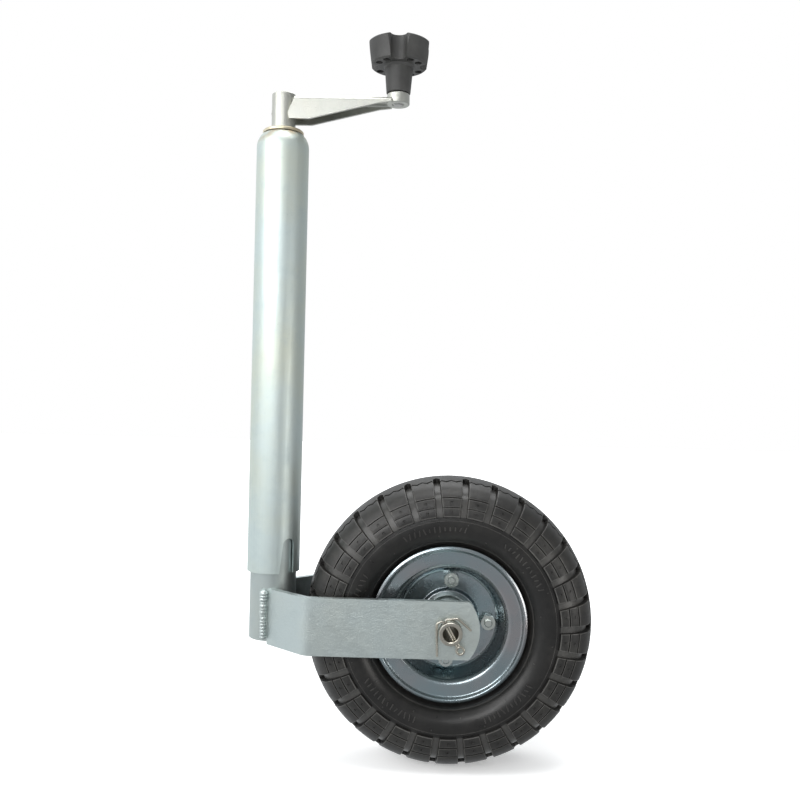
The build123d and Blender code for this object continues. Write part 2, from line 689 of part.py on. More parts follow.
def main():
    os.makedirs(OUT, exist_ok=True)
    for name, shape in build().items():
        if isinstance(shape, list):
            shape = Compound(children=[Solid(piece.solids()[0].wrapped) for piece in shape])
        export_step(shape, f"{OUT}/{name}.step")
        print(name)


main()
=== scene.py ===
"""Looks of the trailer tongue jack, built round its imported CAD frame.  Metres, +Z up."""
import json
import math
import random

import bmesh
import bpy
from mathutils import Matrix, Vector


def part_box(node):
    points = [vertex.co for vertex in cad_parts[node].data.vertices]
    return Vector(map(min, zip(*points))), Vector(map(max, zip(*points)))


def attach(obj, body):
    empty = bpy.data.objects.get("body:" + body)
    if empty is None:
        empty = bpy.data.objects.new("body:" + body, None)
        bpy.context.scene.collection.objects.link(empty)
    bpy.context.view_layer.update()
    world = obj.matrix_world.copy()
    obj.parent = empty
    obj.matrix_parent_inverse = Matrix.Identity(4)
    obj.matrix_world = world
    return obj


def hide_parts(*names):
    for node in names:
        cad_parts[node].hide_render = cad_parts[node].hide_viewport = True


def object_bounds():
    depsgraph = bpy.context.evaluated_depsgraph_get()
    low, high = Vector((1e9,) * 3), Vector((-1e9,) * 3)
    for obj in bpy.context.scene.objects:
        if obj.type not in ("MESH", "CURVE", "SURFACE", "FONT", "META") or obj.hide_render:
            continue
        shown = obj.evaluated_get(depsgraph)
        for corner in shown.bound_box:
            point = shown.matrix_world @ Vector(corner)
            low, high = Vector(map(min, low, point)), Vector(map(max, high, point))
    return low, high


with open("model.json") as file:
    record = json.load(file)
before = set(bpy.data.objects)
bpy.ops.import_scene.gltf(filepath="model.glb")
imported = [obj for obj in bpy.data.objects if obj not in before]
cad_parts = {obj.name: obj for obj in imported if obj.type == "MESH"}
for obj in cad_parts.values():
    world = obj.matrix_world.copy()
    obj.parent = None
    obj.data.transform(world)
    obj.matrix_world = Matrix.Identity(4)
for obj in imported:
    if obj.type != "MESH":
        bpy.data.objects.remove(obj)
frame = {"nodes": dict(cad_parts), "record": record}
CAD_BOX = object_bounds()
MM = 0.001

TREAD_LOW, TREAD_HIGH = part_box("tyre_tread")
WHEEL_X = (TREAD_LOW.x + TREAD_HIGH.x) / 2
WHEEL_Z = (TREAD_LOW.z + TREAD_HIGH.z) / 2
GROUND_Z = CAD_BOX[0].z


# ---------------------------------------------------------------- node helpers
class Nodes:
    """Short way to add and join shader nodes in one tree."""

    def __init__(self, tree):
        self.tree = tree
        self.tree.nodes.clear()

    def add(self, kind, links=None, **settings):
        node = self.tree.nodes.new(kind)
        for key, value in settings.items():
            if hasattr(node, key):
                setattr(node, key, value)
            else:
                node.inputs[key.replace("_", " ")].default_value = value
        for socket, source in (links or {}).items():
            self.tree.links.new(source, node.inputs[socket])
        return node

    def noise(self, where, scale, detail=4.0, rough=0.55):
        node = self.add("ShaderNodeTexNoise", {"Vector": where})
        node.inputs["Scale"].default_value = scale
        node.inputs["Detail"].default_value = detail
        node.inputs["Roughness"].default_value = rough
        return node.outputs["Fac"]

    def stretch(self, where, x, y, z):
        node = self.add("ShaderNodeMapping", {"Vector": where})
        node.inputs["Scale"].default_value = (x, y, z)
        return node.outputs["Vector"]

    def ramp(self, fac, low, high, out_low=0.0, out_high=1.0):
        node = self.add("ShaderNodeMapRange", {"Value": fac})
        node.inputs["From Min"].default_value = low
        node.inputs["From Max"].default_value = high
        node.inputs["To Min"].default_value = out_low
        node.inputs["To Max"].default_value = out_high
        return node.outputs["Result"]

    def mix(self, fac, a, b):
        node = self.add("ShaderNodeMix", data_type="RGBA")
        self.tree.links.new(fac, node.inputs[0])
        for socket, value in ((node.inputs[6], a), (node.inputs[7], b)):
            if isinstance(value, tuple):
                socket.default_value = (*value, 1.0)
            else:
                self.tree.links.new(value, socket)
        return node.outputs[2]

    def math(self, how, a, b):
        node = self.add("ShaderNodeMath", operation=how)
        for socket, value in ((node.inputs[0], a), (node.inputs[1], b)):
            if isinstance(value, (int, float)):
                socket.default_value = value
            else:
                self.tree.links.new(value, socket)
        return node.outputs[0]

    def bump(self, height, distance, strength=1.0, under=None):
        node = self.add("ShaderNodeBump", {"Height": height})
        node.inputs["Strength"].default_value = strength
        node.inputs["Distance"].default_value = distance
        if under is not None:
            self.tree.links.new(under, node.inputs["Normal"])
        return node.outputs["Normal"]


def new_material(name):
    material = bpy.data.materials.new(name)
    material.use_nodes = True
    nodes = Nodes(material.node_tree)
    out = nodes.add("ShaderNodeOutputMaterial")
    shader = nodes.add("ShaderNodeBsdfPrincipled")
    nodes.tree.links.new(shader.outputs["BSDF"], out.inputs["Surface"])
    place = nodes.add("ShaderNodeTexCoord").outputs["Object"]
    return material, nodes, shader, place


# Noise scales of the plating, coarse to fine, in cells per metre.
CLOUD_SCALE = 14.0
BROAD_SCALE = 45.0
SPECK_PATCH_SCALE = 60.0
STAIN_SCALE = 70.0
SPECK_SCALE = 260.0
DRAWN_SCALE = 420.0
# The specks' share of the shade's brightness, and the depth of the scuffs in metres.
SPECK_SHADE = 0.45
SCUFF_DEPTH = 0.00002
# Scales and depths (m) of the moulded plastic, the rubber and the turned metal.
FLOW_SCALE = 60.0
RUBBED_SCALE = 22.0
SPARK_SCALE = 2600.0
SPARK_DEPTH = 0.00003
PEEL_SCALE = 320.0
DUST_CLOUD_SCALE = 26.0
DUST_SCALE = 140.0
DUST_DEPTH = 0.0001
PEBBLE_SCALE = 1500.0
PEBBLE_DEPTH = 0.00005
GREASE_SCALE = 90.0
TURNING_SCALE = 2600.0
TURNING_DEPTH = 0.00003


def plated(name, base, tint, shade, rough=(0.28, 0.42), grain=1400.0, grain_depth=0.00004,
           streak=(1.0, 1.0, 1.0), streak_rough=0.06, tint_amount=0.5, stain=None):
    """Zinc plating: a clouded tint, fine grain, drawn streaks, sparse dull specks and scuffs."""
    material, nodes, shader, place = new_material(name)
    shader.inputs["Metallic"].default_value = 1.0
    cloud = nodes.noise(place, CLOUD_SCALE, 5.0)
    colour = nodes.mix(nodes.ramp(cloud, 0.38, 0.66, 0.0, tint_amount), base, tint)
    broad = nodes.noise(place, BROAD_SCALE, 6.0, 0.65)
    colour = nodes.mix(nodes.ramp(broad, 0.52, 0.8, 0.0, 0.55), colour, shade)
    if stain is not None:
        stain_colour, stain_z, stain_depth = stain
        height = nodes.add("ShaderNodeSeparateXYZ", {"Vector": place}).outputs["Z"]
        near = nodes.ramp(height, stain_z - stain_depth, stain_z, 0.0, 1.0)
        patches = nodes.ramp(nodes.noise(place, STAIN_SCALE, 5.0), 0.45, 0.62)
        spots = nodes.math("MULTIPLY", near, patches)
        colour = nodes.mix(spots, colour, stain_colour)
    specks = nodes.add("ShaderNodeTexVoronoi", {"Vector": place})
    specks.inputs["Scale"].default_value = SPECK_SCALE
    dots = nodes.ramp(specks.outputs["Distance"], 0.10, 0.05, 0.0, 0.5)
    where = nodes.ramp(nodes.noise(place, SPECK_PATCH_SCALE, 3.0), 0.55, 0.62)
    dull = tuple(SPECK_SHADE * c for c in shade)
    colour = nodes.mix(nodes.math("MULTIPLY", dots, where), colour, dull)
    nodes.tree.links.new(colour, shader.inputs["Base Color"])
    drawn = nodes.noise(nodes.stretch(place, *streak), DRAWN_SCALE, 5.0, 0.6)
    fine = nodes.noise(place, grain, 3.0, 0.6)
    low, high = rough
    worn = nodes.math("ADD", nodes.ramp(broad, 0.3, 0.75, low, high),
                      nodes.ramp(drawn, 0.3, 0.7, -streak_rough, streak_rough))
    nodes.tree.links.new(worn, shader.inputs["Roughness"])
    scuff = nodes.bump(drawn, SCUFF_DEPTH, 0.6)
    nodes.tree.links.new(nodes.bump(fine, grain_depth, 0.8, scuff), shader.inputs["Normal"])
    return material


def moulded(name, base, light, rough=(0.42, 0.6)):
    """Moulded plastic with a fine spark-eroded texture, faint flow clouds and rubbed patches."""
    material, nodes, shader, place = new_material(name)
    shader.inputs["Specular IOR Level"].default_value = 0.5
    cloud = nodes.noise(place, FLOW_SCALE, 5.0)
    rubbed = nodes.noise(place, RUBBED_SCALE, 4.0, 0.7)
    colour = nodes.mix(nodes.ramp(cloud, 0.4, 0.7, 0.0, 0.6), base, light)
    nodes.tree.links.new(colour, shader.inputs["Base Color"])
    nodes.tree.links.new(nodes.ramp(rubbed, 0.35, 0.65, rough[0], rough[1]), shader.inputs["Roughness"])
    texture = nodes.noise(place, SPARK_SCALE, 2.0, 0.5)
    coarse = nodes.bump(nodes.noise(place, PEEL_SCALE, 4.0), SPARK_DEPTH, 0.5)
    nodes.tree.links.new(nodes.bump(texture, SPARK_DEPTH, 0.7, coarse), shader.inputs["Normal"])
    return material


def rubber(name, base, dusty, rough=(0.5, 0.72)):
    """Dusty tyre rubber: paler dust in patches, mould sheen, and a faint pebble grain."""
    material, nodes, shader, place = new_material(name)
    shader.inputs["Specular IOR Level"].default_value = 0.45
    cloud = nodes.noise(place, DUST_CLOUD_SCALE, 6.0, 0.65)
    dust = nodes.noise(place, DUST_SCALE, 6.0, 0.7)
    patch = nodes.math("MULTIPLY", nodes.ramp(cloud, 0.35, 0.7), nodes.ramp(dust, 0.3, 0.75))
    colour = nodes.mix(patch, base, dusty)
    nodes.tree.links.new(colour, shader.inputs["Base Color"])
    nodes.tree.links.new(nodes.ramp(dust, 0.3, 0.7, rough[0], rough[1]), shader.inputs["Roughness"])
    grain = nodes.bump(nodes.noise(place, PEBBLE_SCALE, 3.0), PEBBLE_DEPTH, 0.6)
    nodes.tree.links.new(nodes.bump(dust, DUST_DEPTH, 0.5, grain), shader.inputs["Normal"])
    return material


def bare_metal(name, base, other, rough):
    """Machined metal: fine turning marks and thin grease clouds."""
    material, nodes, shader, place = new_material(name)
    shader.inputs["Metallic"].default_value = 1.0
    cloud = nodes.noise(place, GREASE_SCALE, 5.0)
    colour = nodes.mix(nodes.ramp(cloud, 0.35, 0.7), base, other)
    nodes.tree.links.new(colour, shader.inputs["Base Color"])
    turning = nodes.noise(nodes.stretch(place, 0.05, 0.05, 1.0), TURNING_SCALE, 3.0)
    nodes.tree.links.new(nodes.ramp(turning, 0.3, 0.7, rough[0], rough[1]), shader.inputs["Roughness"])
    nodes.tree.links.new(nodes.bump(turning, TURNING_DEPTH, 0.5), shader.inputs["Normal"])
    return material


TUBE_TOP_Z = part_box("outer_tube")[1].z
MATERIALS = {
    "zinc_tube": plated("zinc_tube", (0.59, 0.67, 0.66), (0.64, 0.66, 0.54), (0.49, 0.57, 0.58),
                        rough=(0.44, 0.56), streak=(1.0, 1.0, 0.03), grain=1500.0, grain_depth=0.00010,
                        tint_amount=0.6, stain=((0.50, 0.36, 0.20), TUBE_TOP_Z + 0.001, 0.012)),
    "zinc_inner": plated("zinc_inner", (0.46, 0.52, 0.52), (0.54, 0.56, 0.51), (0.36, 0.41, 0.41),
                         rough=(0.42, 0.56), streak=(1.0, 1.0, 0.03), grain=1300.0, grain_depth=0.00012),
    "zinc_fork": plated("zinc_fork", (0.54, 0.61, 0.61), (0.62, 0.65, 0.60), (0.42, 0.48, 0.49),
                        rough=(0.38, 0.52), streak=(0.3, 0.3, 1.0), grain=650.0, grain_depth=0.00032),
    "zinc_rim": plated("zinc_rim", (0.31, 0.39, 0.42), (0.40, 0.38, 0.39), (0.22, 0.30, 0.33),
                       rough=(0.20, 0.30), streak=(1.0, 1.0, 1.0), streak_rough=0.03, grain=1300.0,
                       grain_depth=0.00003, tint_amount=0.9),
    "zinc_bolt": plated("zinc_bolt", (0.60, 0.64, 0.62), (0.62, 0.63, 0.55), (0.42, 0.46, 0.46),
                        rough=(0.20, 0.34), streak_rough=0.05),
    "zinc_pin": plated("zinc_pin", (0.46, 0.44, 0.40), (0.50, 0.47, 0.38), (0.34, 0.32, 0.29),
                       rough=(0.26, 0.40), streak_rough=0.05),
    "zinc_crank": plated("zinc_crank", (0.53, 0.54, 0.51), (0.54, 0.525, 0.44), (0.38, 0.40, 0.375),
                         rough=(0.36, 0.48), grain=800.0, grain_depth=0.00016),
    "zinc_yellow": plated("zinc_yellow", (0.74, 0.71, 0.56), (0.62, 0.44, 0.24), (0.62, 0.58, 0.46),
                          rough=(0.32, 0.46), tint_amount=0.9),
    "steel": bare_metal("steel", (0.46, 0.46, 0.45), (0.34, 0.33, 0.31), (0.24, 0.40)),
    "bronze": bare_metal("bronze", (0.56, 0.39, 0.19), (0.42, 0.29, 0.15), (0.28, 0.42)),
    "knob_plastic": moulded("knob_plastic", (0.026, 0.026, 0.025), (0.040, 0.040, 0.038)),
    "cage_plastic": moulded("cage_plastic", (0.020, 0.020, 0.020), (0.032, 0.032, 0.031)),
    "tyre_rubber": rubber("tyre_rubber", (0.010, 0.0095, 0.009), (0.034, 0.032, 0.028), (0.34, 0.52)),
    "tyre_wall": rubber("tyre_wall", (0.0055, 0.0052, 0.005), (0.018, 0.0165, 0.0145), (0.27, 0.42)),
    "tyre_mark": rubber("tyre_mark", (0.026, 0.025, 0.0235), (0.060, 0.057, 0.052), (0.30, 0.44)),
    # Groove floors: rubber lighter than the blocks, a painted sheen standing in for the key light
    # reflecting in the grooves.
    "tyre_groove_sheen": rubber("tyre_groove_sheen", (0.036, 0.035, 0.033), (0.070, 0.067, 0.061), (0.28, 0.40)),
    # Block and sipe edges: paler rubber, partly wear and partly a painted highlight along the edges.
    "tyre_edge_wear_and_highlight": rubber("tyre_edge_wear_and_highlight", (0.048, 0.047, 0.044), (0.095, 0.091, 0.084), (0.32, 0.46)),
    "tube_rubber": rubber("tube_rubber", (0.012, 0.012, 0.012), (0.022, 0.021, 0.020), (0.5, 0.7)),
}
FINISH_OF_NODE = {"inner_tube": "zinc_inner", "axle": "zinc_pin", "split_pin_near": "zinc_pin",
                  "split_pin_far": "zinc_pin"}


# ---------------------------------------------------------------- mesh helpers
def finish_piece(name, mesh_data, body, slot, sharp=35.0, finish=None):
    """Make an object of a bmesh or mesh, give it its finish, and let it ride on its body."""
    mesh = mesh_data
    if isinstance(mesh_data, bmesh.types.BMesh):
        bmesh.ops.recalc_face_normals(mesh_data, faces=mesh_data.faces)
        mesh = bpy.data.meshes.new(name)
        mesh_data.to_mesh(mesh)
        mesh_data.free()
    mesh.polygons.foreach_set("use_smooth", [True] * len(mesh.polygons))
    mesh.set_sharp_from_angle(angle=math.radians(sharp))
    piece = bpy.data.objects.new(name, mesh)
    bpy.context.scene.collection.objects.link(piece)
    mesh.materials.append(MATERIALS[finish or slot])
    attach(piece, body)
    return piece


def smooth_line(points, steps=8):
    """Catmull-Rom line through the points."""
    ends = [points[0], *points, points[-1]]
    line = []
    for i in range(1, len(ends) - 2):
        p0, p1, p2, p3 = ends[i - 1:i + 3]
        for k in range(steps):
            t = k / steps
            spot = []
            for a, b, c, d in zip(p0, p1, p2, p3):
                spot.append(0.5 * (2 * b + (c - a) * t + (2 * a - 5 * b + 4 * c - d) * t * t
                                   + (3 * b - a - 3 * c + d) * t ** 3))
            line.append(tuple(spot))
    line.append(points[-1])
    return line


def wheel_point(radius, angle, y):
    """Place in the row frame: radius and y in mm, angle in degrees from +X towards +Z."""
    turn = math.radians(angle)
    x = WHEEL_X + radius * MM * math.cos(turn)
    z = WHEEL_Z + radius * MM * math.sin(turn)
    return Vector((x, y * MM, z))


# ---------------------------------------------------------------- tyre
# Lines of the tyre's half section are (|y|, radius) in mm: over the blocks, down the wall to the
# bead, and back up inside.
SEGMENTS = 30
SEGMENT_PHASE = 0.3
BLOCK_LINE = [(0.0, 130.0), (7.0, 129.7), (14.0, 128.6), (21.0, 126.8), (27.0, 124.4), (32.0, 121.2),
              (36.0, 116.8), (38.8, 111.6), (40.6, 106.0), (41.6, 101.0), (41.9, 97.2)]
WALL_LINE = [(39.5, 96.4), (40.1, 92.5), (40.1, 88.5), (39.4, 84.5), (37.8, 80.6), (35.2, 77.0),
             (32.2, 74.5), (29.0, 72.6), (26.6, 71.2), (25.3, 69.0), (24.8, 64.0), (24.6, 57.0),
             (24.4, 53.0)]
LINING = [(14.0, 53.0), (15.0, 60.0), (22.0, 68.0), (34.0, 80.0), (37.2, 94.0), (34.2, 108.0),
          (26.0, 115.5), (14.0, 120.0), (0.0, 121.6)]
GROOVE_HALF = 3.2
GROOVE_END = 12.0
GROOVE_SLOPE = 0.55
GROOVE_DEPTH = 4.6
GROOVE_DEPTH_LOST = 2.2
GROOVE_SHALLOWS_AT = 30.0
GROOVE_MIN_HALF = 0.6
CROWN_RIB_AT = 4.0
CROWN_RIB_DEPTH = 0.7
ZIGZAG_AT = 20.8
ZIGZAG_SWING = 1.5
ZIGZAG_DEPTH = 2.4
SIPE_RADII = (113.8, 105.4)
SIPE_DEPTH = 1.5
SIPE_LIP = 0.12
NUB_DEPTH = 0.6
ROW_STEP = 2.4
UNEVEN = 0.08
COLUMNS_PER_SEGMENT = 20
# Off the tread the columns keep the angles that a full groove's have at this radius.
WALL_COLUMNS_AT = 110.0

# Places of the tyre's four finishes in its list of materials.
BLOCK_FACE, GROOVE_SHEEN_FACE, EDGE_WEAR_HIGHLIGHT_FACE, WALL_FACE = range(4)


class BlockLine:
    """The line over the tops of the tread blocks, measured by its length from the crown."""

    def __init__(self):
        self.points = smooth_line(BLOCK_LINE, 10)
        self.length = [0.0]
        for a, b in zip(self.points, self.points[1:]):
            self.length.append(self.length[-1] + math.dist(a, b))
        self.total = self.length[-1]

    def at(self, s):
        """(y, r) and the outward normal at length s."""
        s = min(max(s, 0.0), self.total)
        i = 0
        while i < len(self.length) - 2 and self.length[i + 1] < s:
            i += 1
        a, b = self.points[i], self.points[i + 1]
        span = self.length[i + 1] - self.length[i]
        t = (s - self.length[i]) / span
        dy, dr = (b[0] - a[0]) / span, (b[1] - a[1]) / span
        return (a[0] + (b[0] - a[0]) * t, a[1] + (b[1] - a[1]) * t), (-dr, dy)

    def of_y(self, y):
        return next(self.length[i] + (y - p[0]) / (q[0] - p[0]) * (self.length[i + 1] - self.length[i])
                    for i, (p, q) in enumerate(zip(self.points, self.points[1:])) if p[0] <= y <= q[0])

    def of_r(self, r):
        return next(self.length[i] + (p[1] - r) / (p[1] - q[1]) * (self.length[i + 1] - self.length[i])
                    for i, (p, q) in enumerate(zip(self.points, self.points[1:])) if q[1] <= r <= p[1])


def tread_rows():
    """Rows of the tread from the crown outwards: length, cut depth of the row, groove half width and
    depth, how far the zigzag moves the row, and whether the row crosses the nubs."""
    line = BlockLine()
    start = line.of_y(GROOVE_END)
    shallows = line.of_y(GROOVE_SHALLOWS_AT)
    rows = []

    def row(s, cut=0.0, zig=0.0, nub=0.0):
        into = s - start
        if into <= 0.0:
            half, depth = GROOVE_MIN_HALF, 0.0
        else:
            half = math.sqrt(max(0.0, GROOVE_HALF ** 2 - max(0.0, GROOVE_HALF - into) ** 2))
            lost = GROOVE_DEPTH_LOST * max(0.0, s - shallows) / (line.total - shallows)
            depth = GROOVE_DEPTH - lost
        rows.append((s, cut, max(half, GROOVE_MIN_HALF), depth, zig, nub))

    row(0.0)
    rib = line.of_y(CROWN_RIB_AT)
    for ds, cut in ((-0.7, 0.0), (-0.25, CROWN_RIB_DEPTH), (0.25, CROWN_RIB_DEPTH), (0.7, 0.0)):
        row(rib + ds, cut)
    row(line.of_y(7.0))
    row(line.of_y(10.0))
    for ds in (-0.4, 0.15, 0.6, 1.3, 2.2, 3.3):
        row(start + ds)
    middle = line.of_y(ZIGZAG_AT)
    for ds, cut, zig in ((-3.6, 0, 0.3), (-1.7, 0, 0.8), (-1.2, 0, 1), (-0.85, ZIGZAG_DEPTH, 1),
                         (0.85, ZIGZAG_DEPTH, 1), (1.2, 0, 1), (1.7, 0, 0.8), (3.6, 0, 0.3)):
        row(middle + ds, cut, zig)
    sipes = [line.of_r(radius) for radius in SIPE_RADII]
    at = middle + 5.4
    while at < sipes[0] - 2.0:
        row(at)
        at += ROW_STEP
    for i, sipe in enumerate(sipes):
        for ds, cut in ((-1.0, 0), (-0.6, SIPE_LIP), (-0.4, SIPE_DEPTH), (0.4, SIPE_DEPTH),
                        (0.6, SIPE_LIP), (1.0, 0)):
            row(sipe + ds, cut)
        stop = sipes[1] if i == 0 else line.total
        centre = (sipe + stop) / 2
        for ds, nub in ((-1.1, 0), (-0.8, 1), (0.8, 1), (1.1, 0)):
            row(centre + ds, 0, 0, nub)
    row(line.total - 0.9)
    row(line.total, 0.25)
    return line, rows


def tyre_columns(half, radius):
    """Places across one half segment, in mm from the groove's middle: offset, groove share of the
    depth, zigzag value, on the nub."""
    pitch_half = radius * math.pi / SEGMENTS
    a, b = half + 0.5, pitch_half - 1.1
    columns = [(0.0, 1.0, 1.0, 0), (max(half - GROOVE_SLOPE, 0.1), 1.0, 0.6, 0), (half, 0.045, 0.45, 0),
               (a, 0.0, 0.3, 0)]
    columns += [(a + (b - a) * 0.073, 0.0, -1.0, 0), (a + (b - a) * 0.33, 0.0, 0.0, 0),
                (a + (b - a) * 0.596, 0.0, 1.0, 0), (a + (b - a) * 0.8, 0.0, 0.2, 0),
                (b, 0.0, -0.6, 0), (b + 0.3, 0.0, -0.75, 1), (pitch_half, 0.0, -1.0, 1)]
    return columns


def tyre_ring_positions(half, radius):
    """All places round the tyre for one row: angle in degrees and the column's own values."""
    columns = tyre_columns(half, radius)
    around = []
    for k in range(SEGMENTS):
        middle = SEGMENT_PHASE + 360.0 * k / SEGMENTS
        for offset, *rest in reversed(columns[1:-1]):
            around.append((middle - math.degrees(offset / radius), *rest))
        for offset, *rest in columns:
            around.append((middle + math.degrees(offset / radius), *rest))
    return around


def tyre_mesh():
    """Closed tyre: tread blocks on both shoulders, plain sidewalls, beads and a lining.

    The rings of vertices start inside under the crown, go round the bead at -y, over the wall and
    the tread, and round the bead at +y back to the inside."""
    line, rows = tread_rows()
    rings = []
    rise = random.Random(3)
    uneven = [rise.uniform(-UNEVEN, UNEVEN) for _ in range(SEGMENTS * COLUMNS_PER_SEGMENT)]

    def tread_ring(row, side):
        s, cut, half, depth, zig, nub = row
        ring = []
        (_, base_r), _ = line.at(s)
        for i, (angle, share, wave, on_nub) in enumerate(tyre_ring_positions(half, base_r)):
            (y, r), (ny, nr) = line.at(s + zig * wave * ZIGZAG_SWING)
            down = max(depth * share, cut * (1.0 if share < 0.9 else 0.0), NUB_DEPTH * nub * on_nub)
            down += abs(uneven[i % len(uneven)])
            ring.append((r - nr * down, angle, side * (y - ny * down)))
        return ring

    def plain_ring(y, r, side):
        half = GROOVE_HALF * r / WALL_COLUMNS_AT
        return [(r, angle, side * y) for angle, *_ in tyre_ring_positions(half, r)]

    wall = smooth_line(WALL_LINE, 2)
    for side in (-1, 1):
        block = [tread_ring(row, side) for row in rows]
        outer = [plain_ring(y, r, side) for y, r in wall]
        inner = [plain_ring(y, r, side) for y, r in LINING]
        half_rings = block + outer + inner
        if side == -1:
            rings += list(reversed(half_rings))[:-1]
            rings.append(half_rings[0])
        else:
            rings += half_rings[1:-1]
    count = len(rings[0])
    verts = [wheel_point(*spot) for ring in rings for spot in ring]
    shares = [place[1] for place in tyre_ring_positions(GROOVE_HALF, WALL_COLUMNS_AT)]
    tread = len(rows)
    first = len(wall) + len(LINING)
    faces, finishes = [], []
    for i in range(len(rings)):
        here, after = i * count, ((i + 1) % len(rings)) * count
        on_tread = first <= i < first + 2 * tread - 2
        row = abs(i - (first + tread - 1)) if i >= first + tread - 1 else first + tread - 2 - i
        at_lip = on_tread and 0.0 < abs(rows[row][1] - rows[min(row + 1, tread - 1)][1]) < 0.5
        for j in range(count):
            k = (j + 1) % count
            faces.append((here + j, here + k, after + k, after + j))
            pair = shares[j] + shares[k]
            in_groove = on_tread and pair == 2.0 and rows[row][3] > 0.0
            on_edge = on_tread and 0.0 < pair < 0.5 and rows[row][3] > 0.0
            # Block edges and sipe lips take the paler rubber: wear and a painted highlight.
            lit_edge = on_edge or (at_lip and pair < 0.5)
            # Groove floors take the lighter rubber with the painted sheen.
            if in_groove:
                finishes.append(GROOVE_SHEEN_FACE)
            elif lit_edge:
                finishes.append(EDGE_WEAR_HIGHLIGHT_FACE)
            else:
                finishes.append(BLOCK_FACE if on_tread else WALL_FACE)
    mesh = bpy.data.meshes.new("tyre_body")
    mesh.from_pydata(verts, [], faces)
    mesh.polygons.foreach_set("material_index", finishes)
    solid = bmesh.new()
    solid.from_mesh(mesh)
    bmesh.ops.recalc_face_normals(solid, faces=solid.faces)
    solid.to_mesh(mesh)
    solid.free()
    return mesh


tyre = finish_piece("tyre_body", tyre_mesh(), "wheel", "tyre_rubber", sharp=32.0)
for finish in ("tyre_groove_sheen", "tyre_edge_wear_and_highlight", "tyre_wall"):
    tyre.data.materials.append(MATERIALS[finish])
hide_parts("tyre_tread", "tyre_wall_near", "tyre_wall_far")


# Marks on the sidewall, in mm and degrees.  Each one's foot is this far under the rubber.
FOOT_DEPTH = 0.3
RING_STEPS = 240
MOULD_LINES = ((93.6, 0.9, 0.22), (74.4, 1.2, 0.35))
TICK_RADIUS = 86.4
TICK_PITCH = 3.0
TICK_WIDTH = 1.2
TICK_HEIGHT = 0.6
TICK_LEANS = (0.0, 1.2, -1.2)
TICK_LENGTHS = (5.2, 5.2, 3.4)
TICK_GROUPS = ((24.0, 12), (82.0, 13), (150.0, 10), (214.0, 13), (292.0, 12))
VENT_ROWS = ((80.4, 8.0, 1.2), (91.0, 21.0, 1.1))
VENT_COUNT = 12
VENT_HEIGHT = 0.5


def wall_surface(radius):
    """|y| of the sidewall at a radius."""
    line = smooth_line(WALL_LINE, 6)
    for a, b in zip(line, line[1:]):
        if b[1] <= radius <= a[1]:
            return a[0] + (b[0] - a[0]) * (a[1] - radius) / (a[1] - b[1])
    return line[0][0]


def wall_bar(mesh, side, middle_r, angle, length, width, height, lean=0.0):
    """One raised bar on a sidewall, its foot just under the rubber."""
    steps = 3
    rows = []
    for i in range(steps + 1):
        f = i / steps - 0.5
        r = middle_r + f * length
        turn = angle + math.degrees(lean * f / middle_r)
        base = wall_surface(r)
        half = math.degrees(width / 2 / r)
        edge = 0.0 if 0 < i < steps else 0.25
        low, high = base - FOOT_DEPTH, base + height
        rows.append([wheel_point(r, turn - half, side * low),
                     wheel_point(r, turn - half * (0.7 - edge), side * high),
                     wheel_point(r, turn + half * (0.7 - edge), side * high),
                     wheel_point(r, turn + half, side * low)])
    verts = [[mesh.verts.new(p) for p in row] for row in rows]
    for a, b in zip(verts, verts[1:]):
        for i in range(4):
            mesh.faces.new((a[i], a[(i + 1) % 4], b[(i + 1) % 4], b[i]))
    mesh.faces.new(verts[0])
    mesh.faces.new(list(reversed(verts[-1])))


def wall_ring(mesh, side, radius, width, height):
    """One thin raised line right round a sidewall."""
    count = RING_STEPS
    rings = []
    for dr, lift in ((-width / 2, -FOOT_DEPTH), (-width / 4, height), (width / 4, height),
                     (width / 2, -FOOT_DEPTH)):
        r = radius + dr
        y = side * (wall_surface(r) + lift)
        rings.append([mesh.verts.new(wheel_point(r, 360.0 * k / count, y)) for k in range(count)])
    for i in range(4):
        a, b = rings[i], rings[(i + 1) % 4]
        for k in range(count):
            n = (k + 1) % count
            mesh.faces.new((a[k], a[n], b[n], b[k]))


def wall_marks():
    """Generic moulded ticks, mould lines and vent dots on both sidewalls."""
    mesh = bmesh.new()
    shuffle = random.Random(11)
    for side in (-1, 1):
        for radius, width, height in MOULD_LINES:
            wall_ring(mesh, side, radius, width, height)
        for start, count in TICK_GROUPS:
            for k in range(count):
                length = shuffle.choice(TICK_LENGTHS)
                lean = shuffle.choice(TICK_LEANS)
                at = start + TICK_PITCH * k
                wall_bar(mesh, side, TICK_RADIUS, at, length, TICK_WIDTH, TICK_HEIGHT, lean)
        for k in range(VENT_COUNT):
            for radius, first, size in VENT_ROWS:
                at = first + 360.0 / VENT_COUNT * k
                wall_bar(mesh, side, radius, at, size, size, VENT_HEIGHT)
    return mesh


finish_piece("tyre_wall_marks", wall_marks(), "wheel", "tyre_rubber", sharp=50.0,
             finish="tyre_mark")


# ---------------------------------------------------------------- welds
# Lengths in metres, the drift in mm.
WELD_PITCH = 0.0028
WELD_STEPS = 5
WELD_SIDES = 14
WELD_DRIFT = 0.25
WELD_TOP_TAPER = 0.004
WELD_END_TAPER = 0.003
WELD_BLOB_DEPTH = 0.007
WELD_BLOB_SWELL = 1.12


